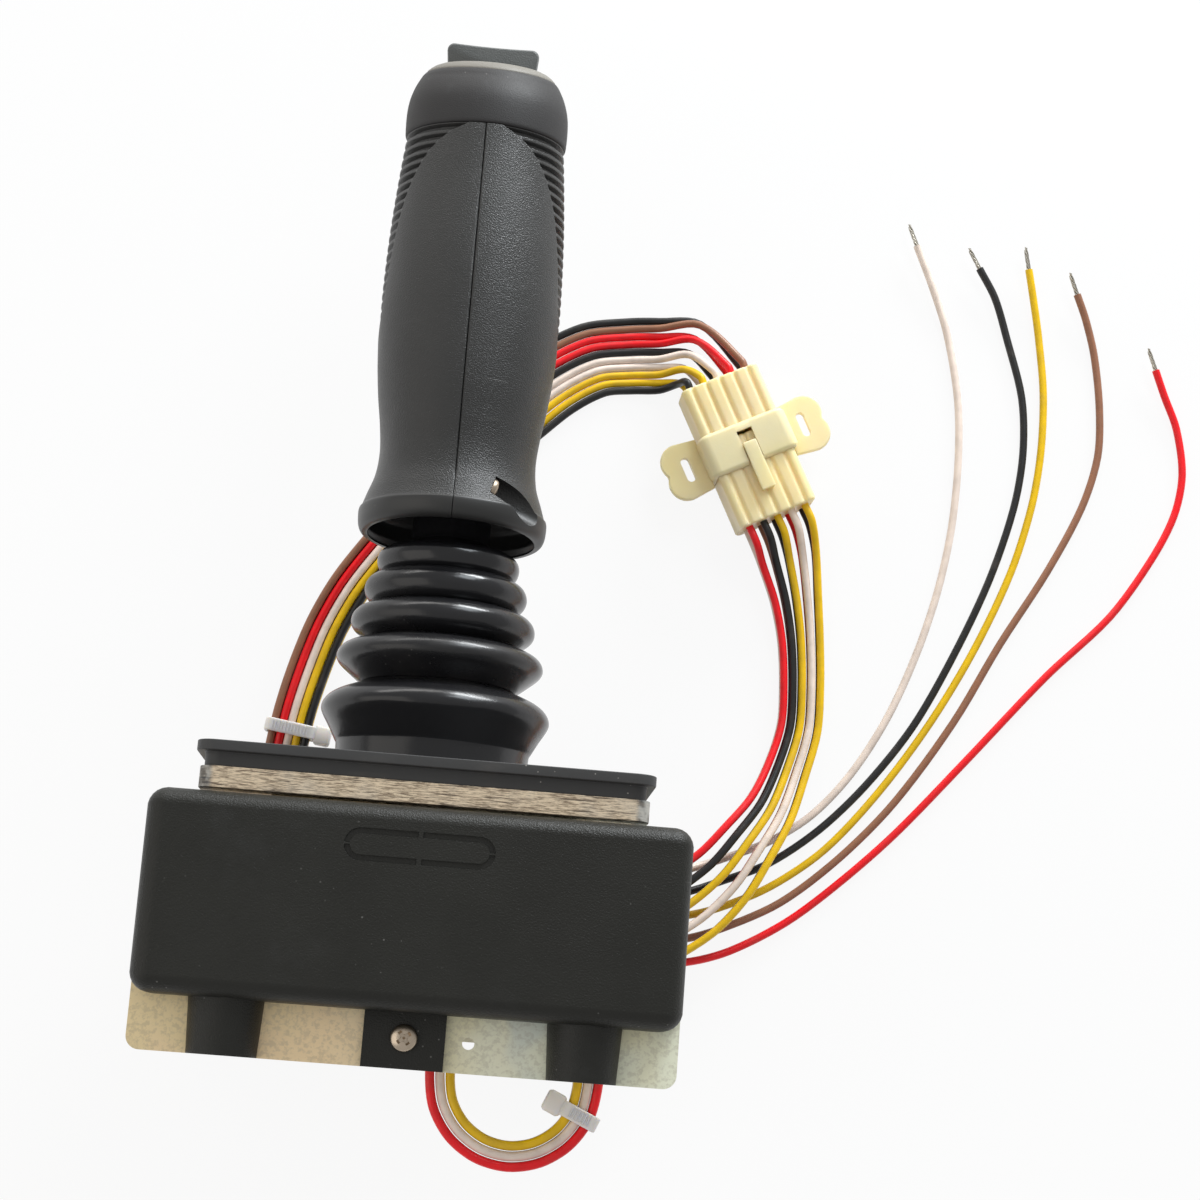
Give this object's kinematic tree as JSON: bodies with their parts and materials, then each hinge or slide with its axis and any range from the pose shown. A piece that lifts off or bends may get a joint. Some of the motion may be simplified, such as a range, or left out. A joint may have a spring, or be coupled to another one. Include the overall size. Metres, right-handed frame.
{
  "type": "industrial joystick",
  "caption": "Two-axis industrial joystick with thumb rocker, grip handle, folded rubber boot, panel plate, open gimbal, covered electronics and a plugged wiring harness.",
  "frame": {"origin": "centre of the panel bolt pattern, on the stem axis at the mounting plate's upper face", "axes": "+Y along the stem from the plate to the rocker, +Z out of the front cover and away from the surface it lies on, +X to the right"},
  "size_m": [0.2611, 0.2776, 0.122],
  "materials": {
    "plate_finish": "grained beige coating, satin",
    "gasket_rubber": "matt black, dusty",
    "boot_rubber": "black, glossy on the folds",
    "passivated_sheet": "yellow passivated zinc",
    "screw_steel": "nickel plated",
    "cover_plastic": "finely textured black",
    "board_laminate": "green solder mask",
    "component_plastic": "moulded black",
    "cast_aluminium": "bead blasted",
    "bush_brass": "turned",
    "machined_steel": "turned and ground",
    "gate_plastic": "moulded",
    "handle_plastic": "fine spark texture",
    "cap_plastic": "smooth satin",
    "bezel_plastic": "satin",
    "rocker_plastic": "satin",
    "nylon": "natural nylon",
    "tie_nylon": "translucent white nylon",
    "tinned_copper": "tinned strands",
    "red_insulation": "extruded",
    "black_insulation": "extruded",
    "yellow_insulation": "extruded",
    "white_insulation": "extruded",
    "brown_insulation": "extruded"
  },
  "bodies": {
    "base": {"mounting_plate": "plate_finish", "panel_gasket": "gasket_rubber", "boot": "boot_rubber", "chassis_bracket": "passivated_sheet", "bracket_screws": "screw_steel", "front_cover": "cover_plastic", "cover_screw": "screw_steel", "circuit_board": "board_laminate", "board_parts": "component_plastic", "board_screws": "screw_steel", "rear_cover": "cover_plastic", "rear_cover_screws": "screw_steel", "side_grommet": "gasket_rubber", "top_grommet": "gasket_rubber", "gimbal_housing": "cast_aluminium", "housing_screws": "screw_steel", "fore_aft_bushes": "bush_brass", "side_bushes": "bush_brass", "gate_plate": "gate_plastic", "gate_screws": "screw_steel", "fore_aft_sensor": "component_plastic", "side_sensor": "component_plastic", "fore_aft_spring": "machined_steel", "side_spring": "machined_steel", "loop_header": "nylon", "connector_receptacle": "nylon", "connector_plug": "nylon", "bundle_tie": "tie_nylon", "loop_tie": "tie_nylon", "bare_ends": "tinned_copper", "upper_red": "red_insulation", "upper_black": "black_insulation", "upper_yellow": "yellow_insulation", "upper_white": "white_insulation", "upper_brown": "brown_insulation", "lower_red": "red_insulation", "lower_black": "black_insulation", "lower_yellow": "yellow_insulation", "lower_white": "white_insulation", "lower_brown": "brown_insulation", "leads": "white_insulation", "loop_wires": "yellow_insulation"},
    "fore_aft_yoke": {"fore_aft_yoke": "machined_steel", "lever_pin": "machined_steel", "fore_aft_magnet": "machined_steel"},
    "side_yoke": {"side_yoke": "machined_steel", "side_magnet": "machined_steel"},
    "stick": {"lever": "machined_steel", "grip_core": "component_plastic", "handle_left": "handle_plastic", "handle_right": "handle_plastic", "skirt_screw": "screw_steel", "switch_cap": "cap_plastic", "bezel": "bezel_plastic", "switch_body": "component_plastic", "rocker_pin": "machined_steel"},
    "rocker": {"rocker": "rocker_plastic"}
  },
  "joints": [
    {"name": "fore_aft_tilt", "type": "hinge", "parent": "base", "child": "fore_aft_yoke", "pos_m": [0, -0.013, 0], "axis": [1, 0, 0], "range_deg": [-15, 15], "stiffness_Nm_per_rad": 7, "deforming": ["fore_aft_spring", "boot"]},
    {"name": "side_tilt", "type": "hinge", "parent": "fore_aft_yoke", "child": "stick", "pos_m": [0, -0.013, 0], "axis": [0, 0, 1], "range_deg": [-15, 15], "stiffness_Nm_per_rad": 7},
    {"name": "side_yoke_turn", "type": "hinge", "parent": "base", "child": "side_yoke", "pos_m": [0, -0.013, 0], "axis": [0, 0, 1], "range_deg": [-15, 15], "deforming": ["side_spring"]},
    {"name": "rocker_tilt", "type": "hinge", "parent": "stick", "child": "rocker", "pos_m": [0, 0.18523, -0.00025], "axis": [0, -0.2079, 0.9781], "range_deg": [-8, 8], "stiffness_Nm_per_rad": 0.2}
  ],
  "couplings": [
    {"joint": "side_yoke_turn", "follows": "side_tilt", "ratio": 1}
  ]
}
